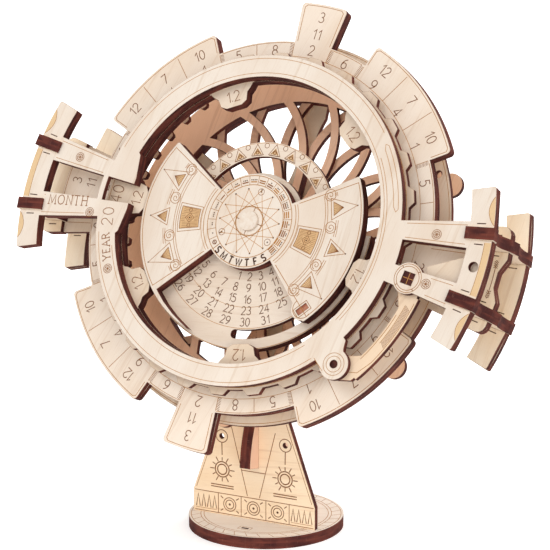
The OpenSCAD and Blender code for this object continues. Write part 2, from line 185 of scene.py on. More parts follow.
def plywood(name, tone, face, grain, seed):
    # Face veneer where the normal lies along the sheet's own normal, burnt cut edge elsewhere.
    # along, across and deep are millimetres along the grain, across it and into the sheet.
    r = Recipe(bpy.data.materials.new(name))
    here = r.add("TexCoord", pick="Object")
    normal = r.add("NewGeometry", pick="True Normal")
    turn = math.radians(grain)
    fibre = math.cos(turn) * face.right + math.sin(turn) * face.up
    along = r.dot(here, fibre * 1000)
    across = r.dot(here, np.cross(face.out, fibre) * 1000)
    deep = r.dot(here, face.out * -1000) + float(face.origin @ face.out)
    onFace = abs(r.dot(normal, face.out)) > plyLook.faceLimit

    light, middle, dark = (colour(c) for c in birch[tone])
    cloudAlong, cloudAcross = plyLook.cloud
    cloud = r.noise(r.vector(along * cloudAlong, across * cloudAcross, seed), 3.0, 0.55)
    veneer, waves = r.mix(cloud.smooth(0.35, 0.68), light, middle), {}
    for layer, (lengthways, sideways, shift, detail, rough, span, share) in grainLayers.items():
        waves[layer] = r.noise(r.vector(along * lengthways, across * sideways, seed + shift),
                               detail, rough)
        veneer = r.mix(waves[layer].smooth(*span) * share, veneer, dark)

    # the laser leaves fine upright lines on the edge, and the middle veneer chars more
    fine, coarse = plyLook.ruled, plyLook.patchy
    ruled = r.noise(r.vector(along * fine, across * fine, deep * 0.25), 3.0, 0.65)
    patchy = r.noise(r.vector(along * coarse, across * coarse, deep * 0.3 + seed), 2.0, 0.5)
    core = 1 - abs(deep / sheetThick - 0.5).smooth(*plyLook.core)
    edge = r.mix(patchy.smooth(0.36, 0.66), colour(burnt.deep), colour(burnt.rich))
    edge = r.mix(ruled.smooth(0.56, 0.82) * plyLook.ashShare, edge, colour(burnt.ash))
    edge = r.mix(core * plyLook.coreShare, edge, colour(burnt.deep))

    # a face is browned in a rim of some tenths of a millimetre beside each cut
    bent = r.add("Bevel", {"samples": 6}, {"Radius": plyLook.rimReach})
    rim = (1 - abs(r.dot(bent, normal))).smooth(0.02, 0.22)
    scorched = r.mix(rim * plyLook.rimShare, veneer, colour(burnt.rim))

    return r.finish(r.mix(onFace, edge, scorched),
                    plyLook.rough - onFace * 0.16 + waves["streak"] * 0.10, plyLook.specular,
                    waves["streak"] * 0.5 + waves["fleck"] * 0.3 + ruled * (1 - onFace) * 1.4,
                    plyLook.bump)


def dress(node, material):
    nodes[node].data.materials.clear()
    nodes[node].data.materials.append(material)


plateLooks = {
    # node: tone, depth of its face behind the dial's face, direction of its grain
    "front_frame": ("pale", 0.0, 82), "frame_backing": ("warm", 2.4, 12),
    # the rear frame's cream tone is painted light
    "middle_frame": ("warm", 20.4, 86), "rear_frame": ("lit_cream", 41.0, 80),
    "click_arm": ("tan", 2.4, 60), "year_ring": ("warm", 5.4, 78),
    "year_detent_ring": ("warm", 7.8, 10), "ring_hoop_front": ("warm", 8.4, 0),
    "ring_hoop_rear": ("warm", 10.8, 90), "ring_flange": ("shaded", 13.2, 75),
    "month_ring": ("fair", 10.5, 74), "dial_cover": ("pale", 4.8, 88),
    "cover_backing": ("warm", 7.2, 8), "cover_spacer": ("warm", 9.6, 0),
    "date_disc": ("fair", 10.5, 8), "date_rim": ("warm", 12.9, 20),
    # the hand wheels' pink tone is painted shade
    "hand_wheel_front": ("shade_rose", 34.8, 84), "hand_wheel_rear": ("shade_rose", 37.2, 5),
    "rear_washer": ("warm", 39.9, 0),
}
for k, (node, (tone, depth, grain)) in enumerate(plateLooks.items()):
    dress(node, plywood(node + "_ply", tone, dialFace(depth), grain, 3.0 * k))

level = ((1, 0, 0), (0, 1, 0))
standLooks = {
    # node: tone, its outer face, direction of its grain
    # the base discs' white tone is painted light
    "base_disc_lower": ("white", Face((0, 0, sheetThick), *level), 20),
    "base_disc_upper": ("white", Face((0, 0, 2 * sheetThick), *level), 20),
    "base_key": ("shaded", Face((0, 0, 4.4), *level), 0),
    # the upright's honey tone is painted light
    "stand_upright": ("lit_honey", Face((0, -11, 0), (1, 0, 0), (0, 0, 1)), 4),
    "stand_arm_left": ("shaded", Face((-sheetThick, 0, 0), (0, -1, 0), (0, 0, 1)), 86),
    "stand_arm_right": ("shaded", Face((sheetThick, 0, 0), (0, 1, 0), (0, 0, 1)), 86),
}
for k, (node, (tone, face, grain)) in enumerate(standLooks.items()):
    dress(node, plywood(node + "_ply", tone, face, grain, 91.0 + 3 * k))

crossAngle = {"left_upper": 180 - dial.crossHalf, "left_lower": 180 + dial.crossHalf,
              "right_upper": dial.crossHalf, "right_lower": -dial.crossHalf}
for k, (corner, angle) in enumerate(crossAngle.items()):
    # a cross plate stands on edge: its sheet's normal runs round the dial
    d = dialFace(0)
    out = math.cos(math.radians(angle)) * d.right + math.sin(math.radians(angle)) * d.up
    for side, ply in ((-1, "a"), (1, "b")):
        node = f"cross_plate_{corner}_{ply}"
        normal = np.cross(side * out, -d.out)
        face = Face(d.origin + sheetThick * normal, side * out, -d.out)
        dress(node, plywood(node + "_ply", "warm", face, 90, 150.0 + 5 * k + side))


def turned(name, tone, seed):
    # dowels and pegs: end grain on the ends, pale straight grain along the side
    r = Recipe(bpy.data.materials.new(name))
    here = r.add("TexCoord", pick="Object")
    d = dialFace(0)
    x, y, z = (r.dot(here, v * 1000) for v in (d.right, d.up, d.out))
    light, middle, dark = (colour(c) for c in birch[tone])
    pores = r.noise(r.vector(x * 2.4, y * 2.4, z * 0.10 + seed), 3.0, 0.6)
    cloud = r.noise(r.vector(x * 0.5, y * 0.5, z * 0.05 + seed), 2.0, 0.5)
    wood = r.mix(cloud.smooth(0.35, 0.68), light, middle)
    wood = r.mix(pores.smooth(0.5, 0.8) * 0.4, wood, dark)
    return r.finish(wood, 0.68 + pores * 0.1, 0.25, pores, 0.2)


turnedLooks = {"click_arm_key": "charred", "click_arm_pin": "charred", "flange_pegs": "shaded",
               "cover_peg": "reddened", "axle_dowel": "pale", "date_sleeve": "shaded"}
for k, (node, tone) in enumerate(turnedLooks.items()):
    dress(node, turned(node + "_wood", tone, 200.0 + 3 * k))
print("wood on", len(nodes), "pieces")

burnTones = Kit(
    toast=(232, 201, 158), gold=(194, 134, 62), brown=(136, 82, 42), dark=(66, 34, 26),
    pale=(214, 186, 144))


def burntLook():
    # the attribute burn runs from 0, a golden toasted face, to 1, a dark deep line
    r = Recipe(bpy.data.materials.new("laser_burn"))
    toast, gold, brown, dark, pale = (colour(c) for c in burnTones.values())
    here = r.add("TexCoord", pick="Object")
    depth = r.add("Attribute", {"attribute_name": "burn"}, pick="Fac")
    soot = r.noise(r.add("VectorMath", {"operation": "MULTIPLY"},
                         {0: here, 1: (1600.0,) * 3}, "Vector"), 3.0, 0.6)
    tone = r.mix(depth.smooth(0.0, 0.30), toast, gold)
    tone = r.mix(depth.smooth(0.30, 0.70), tone, brown)
    tone = r.mix(depth.smooth(0.70, 1.0), tone, dark)
    tone = r.mix(soot.smooth(0.45, 0.75) * 0.35, tone, pale)
    return r.finish(tone, 0.82 + soot * 0.1, 0.2, soot, 0.3)


burnMaterial = burntLook()


def polar(radius, angle):
    # a point on the dial, or a path where either of them is several
    r, a = np.asarray(radius, float), np.radians(angle)
    return np.stack([r * np.cos(a), r * np.sin(a)], -1)


def spike(root, half, tip, angle):
    # the corners of a point that aims outward: its feet stand half to each side at root
    return polar((root, tip, root), angle + np.array((-half, 0, half)))


def arc(radius, start, end, centre=(0, 0)):
    # points on a circle, about one and a half millimetres apart
    count = int(abs(end - start) * radius / 85) + 6
    return polar(radius, np.linspace(start, end, count)) + centre


def hoop(radius, centre=(0, 0)):
    return polar(radius, np.linspace(0, 360, int(radius * 3) + 12, endpoint=False)) + centre


def scroll(radius, turns, start, centre, hand=1):
    # a spiral whose radius grows evenly with its angle
    t = np.linspace(0.12, 1, int(turns * 16))
    a = np.radians(start) + hand * t * turns * 2 * math.pi
    return np.stack([radius * t * np.cos(a), radius * t * np.sin(a)], 1) + centre


def bow(x, y, across, rise, start, end):
    # part of an ellipse about x and y, from one angle to another
    t = np.radians(np.linspace(start, end, 13))
    return np.stack([x + across * np.cos(t), y + rise * np.sin(t)], 1)


# letters and digits as strokes, one unit tall
strokes = {
    "0": [bow(0.3, 0.5, 0.27, 0.5, 90, 450)],
    "1": [[(0.1, 0.74), (0.34, 1), (0.34, 0)]],
    "2": [np.vstack([bow(0.29, 0.72, 0.26, 0.28, 165, -30), [(0.03, 0), (0.57, 0)]])],
    "3": [bow(0.27, 0.76, 0.23, 0.24, 150, -90), bow(0.27, 0.27, 0.28, 0.27, 90, -150)],
    "4": [[(0.44, 0), (0.44, 1), (0.02, 0.3), (0.6, 0.3)]],
    "5": [[(0.5, 1), (0.12, 1), (0.08, 0.56)], bow(0.27, 0.33, 0.28, 0.33, 130, -145)],
    "6": [bow(0.3, 0.3, 0.27, 0.3, 0, 360), bow(0.62, 0.3, 0.59, 0.7, 180, 106)],
    "7": [[(0.03, 1), (0.56, 1), (0.2, 0)]],
    "8": [bow(0.3, 0.76, 0.22, 0.24, 0, 360), bow(0.3, 0.26, 0.27, 0.26, 0, 360)],
    "9": [bow(0.3, 0.7, 0.27, 0.3, 0, 360), bow(-0.02, 0.7, 0.59, 0.7, 0, -74)],
    ".": [[(0.04, 0.02), (0.04, 0.12)]],
    "A": [[(0, 0), (0.36, 1), (0.72, 0)], [(0.14, 0.36), (0.58, 0.36)]],
    "E": [[(0.52, 1), (0.06, 1), (0.06, 0), (0.54, 0)], [(0.06, 0.52), (0.42, 0.52)]],
    "F": [[(0.54, 1), (0.06, 1), (0.06, 0)], [(0.06, 0.5), (0.44, 0.5)]],
    "H": [[(0.06, 0), (0.06, 1)], [(0.66, 0), (0.66, 1)], [(0.06, 0.52), (0.66, 0.52)]],
    "M": [[(0.04, 0), (0.1, 1), (0.44, 0.12), (0.78, 1), (0.84, 0)]],
    "N": [[(0.06, 0), (0.06, 1), (0.66, 0), (0.66, 1)]],
    "O": [bow(0.4, 0.5, 0.38, 0.5, 90, 450)],
    "R": [[(0.06, 0), (0.06, 1), (0.3, 1)], bow(0.3, 0.76, 0.24, 0.24, 90, -90),
          [(0.3, 0.52), (0.06, 0.52)], [(0.32, 0.52), (0.62, 0)]],
    "S": [bow(0.3, 0.75, 0.25, 0.25, 35, 270), bow(0.3, 0.25, 0.27, 0.25, 90, -145)],
    "T": [[(0, 1), (0.66, 1)], [(0.33, 1), (0.33, 0)]],
    "W": [[(0, 1), (0.24, 0), (0.46, 0.92), (0.68, 0), (0.92, 1)]],
    "Y": [[(0.02, 1), (0.34, 0.48), (0.66, 1)], [(0.34, 0.48), (0.34, 0)]],
}
footHalf = 0.12          # half a serif, for the words that have them


class Prisms:
    # closed prisms on one face, in the face's own millimetres, gathered into one piece
    def __init__(self, name, face, body, material):
        self.name, self.face, self.body, self.material = name, face, body, material
        self.points, self.faces, self.burns, self.count = [], [], [], 0

    def put(self, flat, lift, blocks, burn=None):
        self.points.append(self.face.at(flat, lift[:, None]))
        for block in blocks:
            self.faces += (block + self.count).tolist()
        if burn is not None:
            self.burns.append(np.full(len(flat), float(burn)))
        self.count += len(flat)

    def prism(self, outline, top, low, burn=None):
        # the outline at two heights, turned anticlockwise, with a wall all round
        p = np.vstack(outline)
        x, y = p.T
        if (x * np.roll(y, -1) - np.roll(x, -1) * y).sum() < 0:
            p = p[::-1]
        count = len(p)
        i = np.arange(count)
        j = (i + 1) % count
        walls = np.stack([i + count, j + count, j, i], 1)
        self.put(np.vstack([p, p]), np.repeat([top, low], count),
                 [i[None], i[None, ::-1] + count, walls], burn)

    def finish(self):
        mesh = bpy.data.meshes.new(self.name)
        mesh.from_pydata(np.concatenate(self.points).tolist(), [], self.faces)
        if self.burns:
            mesh.attributes.new("burn", "FLOAT", "POINT").data.foreach_set(
                "value", np.concatenate(self.burns))
        mesh.materials.append(self.material)
        mesh.update()
        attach(place(self.name, mesh), self.body)
        print("made", self.name, "of", len(self.faces), "faces")


groove = Kit(top=0.02, patchTop=0.012, low=-0.05)


class Marks(Prisms):
    # what the laser drew on a face; a pen is the width of its line in mm and its burn
    def __init__(self, name, face, body="frame"):
        super().__init__(name, face, body, burnMaterial)

    def line(self, path, pen, closed=False):
        # each side is the path moved half a width along the mean of two segments' normals
        width, burn = pen
        p = np.vstack(path).astype(float)
        ahead = np.roll(p, -1, 0) - p
        if not closed:
            ahead[-1] = ahead[-2]
        ahead /= np.maximum(np.linalg.norm(ahead, axis=1, keepdims=True), 1e-9)
        behind = np.roll(ahead, 1, 0)
        if not closed:
            behind[0] = ahead[0]
        mean = ahead + behind
        mean /= np.maximum(np.linalg.norm(mean, axis=1, keepdims=True), 1e-6)
        spread = 1 / np.maximum((mean * ahead).sum(1, keepdims=True), 0.5)
        side = np.stack([-mean[:, 1], mean[:, 0]], 1) * spread * width / 2
        count = len(p)
        i = np.arange(count if closed else count - 1)[:, None] * 4
        j, k = (i + 4) % (4 * count), np.arange(4)
        m = (k + 1) % 4
        blocks = [np.stack([i + m, j + m, j + k, i + k], -1).reshape(-1, 4)]
        if not closed:
            end = 4 * count - 4
            blocks.append(np.array([[0, 3, 2, 1], [end + 1, end + 2, end + 3, end]]))
        self.put(np.stack([p + side, p - side, p - side, p + side], 1).reshape(-1, 2),
                 np.tile([groove.top] * 2 + [groove.low] * 2, count), blocks, burn)

    def patch(self, outline, burn=0.0):
        # a toasted area, a little lower than the lines that cross it
        self.prism(outline, groove.patchTop, groove.low, burn)

    def circle(self, radii, pen, centre=(0, 0)):
        for radius in np.atleast_1d(radii):
            self.line(hoop(radius, centre), pen, True)

    def dot(self, centre, pen):
        # a round spot is a line as wide as its radius round half of it, so it lies on patches
        self.line(hoop(pen[0] / 2, centre), pen, True)

    def write(self, text, centre, height, turn, pen, feet=False, gap=0.2):
        # the line of letters runs at turn degrees, with its middle on centre
        glyphs = [[np.asarray(s, float) for s in strokes[letter]] for letter in text]
        steps = [max(s[:, 0].max() for s in glyph) + gap for glyph in glyphs]
        starts = np.cumsum([0] + steps[:-1])
        run, rise = polar(height, turn), polar(height, turn + 90)
        for glyph, start in zip(glyphs, starts):
            serifs = []
            for stroke in glyph if feet else []:
                for tip, root in ((0, 1), (-1, -2)):
                    (x, y), (u, v) = stroke[tip], stroke[root]
                    if y in (0, 1) and abs(y - v) > abs(x - u):
                        serifs.append(np.array([(x - footHalf, y), (x + footHalf, y)]))
            for stroke in glyph + serifs:
                s = stroke + (start - (sum(steps) - gap) / 2, -0.5)
                self.line(centre + s[:, :1] * run + s[:, 1:] * rise, pen)


class Plies(Prisms):
    # pieces of one sheet, with their front at a depth behind the dial's face
    def __init__(self, name, depth, tone, grain, seed, body="frame"):
        face = dialFace(depth)
        super().__init__(name, face, body, plywood(name + "_ply", tone, face, grain, seed))

    def add(self, outline):
        self.prism(outline, 0.0, -sheetThick)


# Plies that only show at their edges: behind the front frame's arms and bars and behind the
# month ring's outer edge, in front of the other frames' bars, and the click arm's wide end.
handleBar = Kit(inner=96.3, crossGap=2.46, middleReach=5.7, notch=(103.5, 1.7, 4.6))
frontArm = Kit(
    depth=2.4, angles=(4.1, 10.3), tip=94.9, root=68.0, lowRoot=84.4, bar=(106.0, 17.6, 0.8))
otherBars = {
    # ply: depth, (outer radius, half its length in degrees, corner), notched sides, seed
    "middle_bar_ply": (18.0, (106.2, 11.8, 3.4), (0,), 71),
    "rear_bar_ply": (38.6, (106.0, 17.6, 0.8), (), 73),
}
clickArmHead = ((82.2, -5.75), (95.96, -6.74), (96.1, 4.0), (81.4, -2.9))
monthTabs = Kit(
    depth=12.9, top=88.5, inner=74.4, low=77.2,
    # tab: its middle from the top and half its width in sectors, radius of its tip
    tabs=((0, 0.5, 94.0), (-3, 1.5, 86.2)))


def beside(radius, cross, offset):
    # a point at a radius, offset millimetres to the side of a cross plate's middle
    return polar(radius, cross + math.degrees(math.asin(offset / radius)))


def addBars(plies, bar, notched=()):
    # each handle bar in three: a rounded end beyond each cross plate, and what is between them
    outer, end, corner = bar
    inner, gap, half = handleBar.inner, handleBar.crossGap, dial.crossHalf
    reach, (notchRadius, notchHalf, notchEdge) = handleBar.middleReach, handleBar.notch
    quarter = np.radians((0, 30, 60, 90))
    for side in (0, 180):
        for way in (-1, 1):
            cross, tip = side + way * half, side + way * end
            back = way * math.degrees(corner / outer)
            rounding = polar(outer - corner * (1 - np.cos(quarter)),
                             tip - back * (1 - np.sin(quarter)))
            plies.add([beside(outer, cross, way * gap), rounding,
                       arc(inner, tip, cross + way * 2), beside(inner, cross, way * gap)])
        edge = [arc(outer, side - reach, side + reach)]
        if side in notched:
            edge = [arc(outer, side - reach, side - notchEdge),
                    polar(notchRadius, side + np.array((-notchHalf, notchHalf))),
                    arc(outer, side + notchEdge, side + reach)]
        plies.add([beside(inner, side - half, gap), beside(outer, side - half, gap), *edge,
                   beside(outer, side + half, -gap), beside(inner, side + half, -gap),
                   arc(inner, side + reach, side - reach)])


def buildPlies():
    arm = frontArm
    low, high = arm.angles
    arms = Plies("front_arm_ply", arm.depth, "warm", 84, 61)
    for side, way in ((0, 1), (0, -1), (180, 1), (180, -1)):
        root = arm.lowRoot if (side, way) == (0, -1) else arm.root
        a, b = side + way * low, side + way * high
        arms.add([arc(arm.tip, a, b), arc(root, b, a)])
    addBars(arms, arm.bar)
    arms.finish()

    for name, (depth, bar, notched, seed) in otherBars.items():
        # the bars' lighter cream tone is painted light
        bars = Plies(name, depth, "lit_cream", 86, seed)
        addBars(bars, bar, notched)
        bars.finish()

    head = Plies("click_arm_head", arm.depth, "warm", 60, 64)
    head.add(clickArmHead)
    head.finish()

    c = monthTabs
    month = Plies("month_tab_ply", c.depth, "warm", 74, 67, "month")
    for quarter in range(4):
        top = c.top - 90 * quarter
        rim, start, end = [], top + 1.5 * sector, top - 5.5 * sector
        for middle, half, tip in c.tabs:
            # a low stretch before each tab, then its side, its rounded corners and its arc
            first, last = top + (middle + half) * sector, top + (middle - half) * sector
            corner, turn = np.array((tip - 1.4, tip - 0.45, tip)), np.array((0.0, 0.35, 1.0))
            rim += [arc(c.low, start, first + 0.2), polar(corner, first - turn),
                    arc(tip, first - 1.4, last + 1.4), polar(corner[::-1], last + turn[::-1]),
                    polar(c.low, last)]
            start = last - 0.2
        month.add(rim + [arc(c.low, start, end), arc(c.inner, end, top + 1.5 * sector)])
    month.finish()


cover = Kit(
    depth=4.8, rings=(15.0, 18.8), hub=(4.25, 6.2), hubTicks=(80, -8, -95, 178),
    # the star: its tips, how many places each line joins, its radius and its turn
    star=(14, 5, 13.4, 6), eyes=(83, 211.6, -32.6), eyeRadius=12.6, eyeSize=1.35,
    cells=20, firstCell=-138.0, cellStep=13.5, cellEnd=-131.5, zeroSize=0.8, barStep=0.85,
    barHalf=1.35, barWidth=0.5, barBurns=(0.42, 0.54, 0.66), dotRow=0.6, dotStep=0.75,
    letters="SMTWTFS", letterRadius=17.1, letterHeight=2.8, firstLetter=-125.6, letterStep=12.55,
    wings=((149.5, 226.5), (-43.0, 31.5)), edge=48.6, inner=20.6,
    # bands: radius, half the gap at each ray in degrees
    bands=((33.4, 0), (34.4, 0), (38.2, 7.3), (39.1, 7.3)),
    # rays: turn from the wing's middle, radius and half width of the root, radius of the tip
    rays=((-24.5, 36.2, 7.0, 47.2), (0.0, 37.4, 5.6, 45.6), (24.5, 36.2, 7.0, 47.2)),
    # the ray inside it: its root and tip from that root, and its share of the width
    innerRay=(0.9, 5.0, 0.62), scrolls=(-33.6, -12.6, 12.6, 33.6), scrollRadius=36.2,
    # panels: radii of the two edges, half their lengths in degrees
    panel=(23.0, 31.6, 9.2, 8.6), panelBorder=(22.1, 32.5, 12, 10.8), panelClear=3.5,
    panelTurns=(-8, 8, 13), panelHatch=7.6, clearHatch=2.2,
    diamonds=Kit(diamond=2.0, smallDiamond=1.1), pearls=(0.7, 3.2),
    pegAngle=-41, pegBox=(45.0, 1.95, 3.35), pegLobe=(44.7, 3.9),
    pens=Kit(
        ring=(0.28, 0.45), tick=(0.3, 0.6), star=(0.2, 0.32), tip=(0.34, 1), fine=(0.22, 0.6),
        dot=(0.3, 1), cell=(0.2, 0.5), cellDot=(0.27, 0.95), zero=(0.4, 0.8), zeroBar=(0.3, 0.8),
        letter=(0.62, 1.0), border=(0.26, 0.45), hair=(0.2, 0.4), band=(0.22, 0.45),
        ray=(0.26, 0.5), hatch=(0.14, 0.72), scroll=(0.24, 0.5), panel=(0.26, 0.62),
        diamond=(0.24, 0.75), smallDiamond=(0.24, 0.6), heart=(0.35, 0.9), pearl=(0.22, 0.7),
        peg=(0.24, 0.55)))


def engraveWing(m, start, end):
    # one side of the cover: bands, three rays, scrolls between them and a hatched panel
    c, pen, middle = cover, cover.pens, (start + end) / 2
    edge, inner = c.edge, c.inner
    inset = math.degrees(1 / 30)         # a millimetre at a radius of 30
    m.line([polar(np.linspace(inner + 2, edge, 12), start + inset),
            arc(edge, start + 2, end - 2)[1:-1],
            polar(np.linspace(edge, inner + 2, 12), end - inset)], pen.border)
    m.line(arc(inner, start + 1.6, end - 1.6), pen.border)
    m.line(arc(inner + 1.1, start + 2.4, end - 2.4), pen.hair)
    for radius, half in c.bands:
        gaps = [middle + ray[0] + side * half for ray in c.rays for side in (-1, 1)]
        stops = [start + 3, *gaps, end - 3]
        for a, b in zip(stops[::2], stops[1::2]):
            m.line(arc(radius, a, b), pen.band)

    # rays: a long outline with a smaller hatched one inside
    rootStep, tipStep, share = c.innerRay
    for turn, root, half, reach in c.rays:
        m.line(spike(root, half, reach, middle + turn), pen.ray, True)
        m.dot(polar(reach, middle + turn), pen.dot)
        small = spike(root + rootStep, half * share, root + tipStep, middle + turn)
        m.patch(small, 0.1)
        m.line(small, pen.fine, True)
        left, tip, right = small
        for t in np.linspace(1, 13, 7) / 14:
            m.line([left + t * (right - left), tip], pen.hatch)

    for k, turn in enumerate(c.scrolls):
        spot = polar(c.scrollRadius, middle + turn)
        m.circle(2.35, pen.scroll, spot)
        m.line(scroll(1.75, 1.6, middle + turn + 60, spot, 1 if k % 2 else -1), pen.scroll)

    # the hatched panel with a plain diamond in its middle
    border, panel = (
        [arc(low, middle - wide, middle + wide), arc(high, middle + narrow, middle - narrow)]
        for low, high, wide, narrow in (c.panelBorder, c.panel))
    m.line(border, pen.scroll, True)
    m.patch(panel, 0.12)
    m.line(panel, pen.panel, True)
    low, high = c.panel[:2]
    for turn in np.linspace(*c.panelTurns):
        short = abs(turn) < c.panelClear
        reach = c.clearHatch if short else c.panelHatch
        m.line(polar((low + 0.5, low + reach), middle + turn), pen.hatch)
        if short:
            m.line(polar((high - reach, high - 0.5), middle + turn), pen.hatch)
    spot = polar((low + high) / 2, middle)
    for name, size in c.diamonds.items():
        m.line(spot + polar(size, middle + np.arange(0, 360, 90)), pen[name], True)
    m.dot(spot, pen.heart)
    size, radius = c.pearls
    for turn in (90, 270):
        m.circle(size, pen.pearl, spot + polar(radius, middle + turn))


def engraveCover():
    c, pen = cover, cover.pens
    m = Marks("cover_marks", dialFace(c.depth))
    low, high = c.rings
    m.circle(c.rings, pen.ring)
    m.circle(c.hub[1], pen.ray)
    for angle in c.hubTicks:
        m.line(polar(c.hub, angle), pen.tick)

    tips, step, radius, turn = c.star
    spots = polar(radius, 360 * np.arange(tips) / tips + turn)
    for spot, other in zip(spots, np.roll(spots, -step, 0)):
        m.line([spot, other], pen.star)
        m.dot(spot, pen.tip)
    for angle in c.eyes:
        spot = polar(c.eyeRadius, angle)
        m.circle(c.eyeSize, pen.fine, spot)
        m.dot(spot, pen.dot)

    # counting cells: a dot for each one, a bar for each five, and a barred ring for none
    for k in range(c.cells):
        angle = c.firstCell - k * c.cellStep
        m.line(polar((low, high), angle + c.cellStep / 2), pen.cell)
        out, along = polar(1, angle), polar(1, angle - 90)
        middle = polar((low + high) / 2, angle)
        bars, dots = divmod(k, 5)
        root = middle - out * 0.5 * (bars * c.barStep + (c.dotRow if dots else 0))
        for bar in range(bars):
            spot = root + out * bar * c.barStep
            m.line([spot - along * c.barHalf, spot + along * c.barHalf],
                   (c.barWidth, c.barBurns[k % 3]))
        row = root + out * bars * c.barStep
        for d in range(dots):
            m.dot(row + along * (d - (dots - 1) / 2) * c.dotStep, pen.cellDot)
        if k == 0:
            m.circle(c.zeroSize, pen.zero, middle)
            m.line([middle - along * c.zeroSize, middle + along * c.zeroSize], pen.zeroBar)
    m.line(polar((low, high), c.cellEnd), pen.cell)

    for k, letter in enumerate(c.letters):
        angle = c.firstLetter + c.letterStep * k
        m.write(letter, polar(c.letterRadius, angle), c.letterHeight, angle + 90, pen.letter)
    for start, end in c.wings:
        engraveWing(m, start, end)

    # an outline round the peg and one that follows the lobe
    turn = c.pegAngle
    radius, halfOut, halfAlong = c.pegBox
    out, along = polar(1, turn) * halfOut, polar(1, turn + 90) * halfAlong
    m.line([polar(radius, turn) + a * out + b * along
            for a, b in ((1, 1), (-1, 1), (-1, -1), (1, -1))], pen.peg, True)
    radius, size = c.pegLobe
    m.line(arc(size, turn - 180, turn + 20, polar(radius, turn)), pen.ray)
    m.finish()


dateDisc = Kit(
    depth=10.5, middle=-91.4, firstRow=21.5, rowStep=4.63, height=3.3, gap=0.16, arches=11,
    firstArch=16.5, archStep=15.0,
    # points of the arch: radius of the root, half the root in degrees, radius of the tip
    outline=(29.1, 5.2, 33.7), toasted=(29.4, 3.9, 32.2), nested=(29.3, 3.2, 31.5),
    base=(29.0, 4.6), eye=(0.62, 30.1), between=(1.0, 32.9), archRing=34.0,
    rims=Kit(rim=(51.0, -175, 5), innerRim=(42.6, -176, 5)),
    pens=Kit(
        number=(0.34, 0.86), between=(0.24, 0.62), outline=(0.24, 0.6), nested=(0.24, 0.72),
        eye=(0.3, 0.75), base=(0.3, 0.7), ring=(0.16, 0.3), rim=(0.24, 0.4),
        innerRim=(0.2, 0.35)))


def engraveDate():
    c, pen = dateDisc, dateDisc.pens
    m = Marks("date_marks", dialFace(c.depth), "date")
    # a column for each weekday: one more to the right, seven more on the row below
    for column in range(-6, 7):
        angle = c.middle + column * sector
        for row in range(6):
            number = 1 + column + 7 * row
            if 1 <= number <= 31:
                m.write(str(number), polar(c.firstRow + c.rowStep * row, angle),
                        c.height, angle + 90, pen.number, gap=c.gap)

    # the arch: triangles with a ring and a nested point, and circles between them
    for k in range(c.arches):
        a = c.firstArch + c.archStep * k
        size, radius = c.between
        m.circle(size, pen.between, polar(radius, a - c.archStep / 2))
        m.line(spike(*c.outline, a), pen.outline, True)
        m.patch(spike(*c.toasted, a), 0.1)
        m.line(spike(*c.nested, a), pen.nested)
        size, radius = c.eye
        m.circle(size, pen.eye, polar(radius, a))
        radius, half = c.base
        m.line(polar(radius, (a - half, a + half)), pen.base)
    m.circle(c.archRing, pen.ring)
    for name, (radius, start, end) in c.rims.items():
        m.line(arc(radius, start, end), pen[name])
    m.finish()


yearRing = Kit(
    depth=5.4, zero=180.7, firstYear=20, zeroYear=40, yearRadius=64.2, yearHeight=5.2, lean=0.2,
    divider=(61, 67.6), border=67.4, lugs=6, lugStep=5, lugHalf=10, lugText="1.2",
    lugRadius=54.3, lugHeight=4.4, soot=58.93,
    pens=Kit(lug=(0.34, 0.72), year=(0.34, 0.75), divider=(0.2, 0.45), border=(0.22, 0.4),
             soot=(0.54, 1.0)))


def engraveYear():
    c, pen = yearRing, yearRing.pens
    m = Marks("year_marks", dialFace(c.depth), "year")
    lugs = c.zero - c.lugStep * sector * np.arange(c.lugs)
    for a in lugs:
        m.write(c.lugText, polar(c.lugRadius, a), c.lugHeight, a - 90, pen.lug)
    for k in range(28):
        a = c.zero + sector * k
        year = c.firstYear + (c.zeroYear - c.firstYear - k) % 28
        m.write(str(year), polar(c.yearRadius, a - c.lean), c.yearHeight, a - 90, pen.year)
        m.line(polar(c.divider, a + sector / 2), pen.divider)
    m.circle(c.border, pen.border)
    # painted shade: a dark line along the inner rim from lug to lug widens the dark band at the
    # edge
    for a, following in zip(lugs, [*lugs[1:], lugs[0] - 360]):
        m.line(arc(c.soot, a - c.lugHalf, following + c.lugHalf), pen.soot)
    m.finish()


monthRing = Kit(
    depth=10.5, top=88.5, height=4.2, inner=70.9, innerLine=71.0,
    # sector clockwise from a tall tab: radius and digits of each number in it
    numbers={0: ((88.6, "3"), (81.3, "11"), (74.4, "2")), 1: ((73.6, "6"),),
             2: ((80.2, "12"), (72.9, "9")), 3: ((80.2, "7"), (72.9, "4")),
             4: ((80.2, "10"), (72.9, "1")), 5: ((73.4, "5"),), 6: ((73.4, "8"),)},
    dividers=(76.4, 76.4, 84.6, 84.6, 76.4, 76.4, 76.4),
    tall=Kit(half=5.55, side=(77.6, 92.2), arc=93.1, arcHalf=4.9),
    wide=Kit(side=(77.8, 84.4), inset=(0.7, 0.6), arc=85.3, arcInset=1.4), lowLine=76.6,
    lowInset=(0.9, 6.6),
    strip=Kit(count=9, step=0.62, rise=0.5, half=0.55, fromWide=0.75, fromTall=7.1),
    pens=Kit(
        digit=(0.36, 0.8), divider=(0.24, 0.5), tab=(0.24, 0.45), low=(0.22, 0.45),
        hatch=(0.2, 0.66), inner=(0.2, 0.35)))


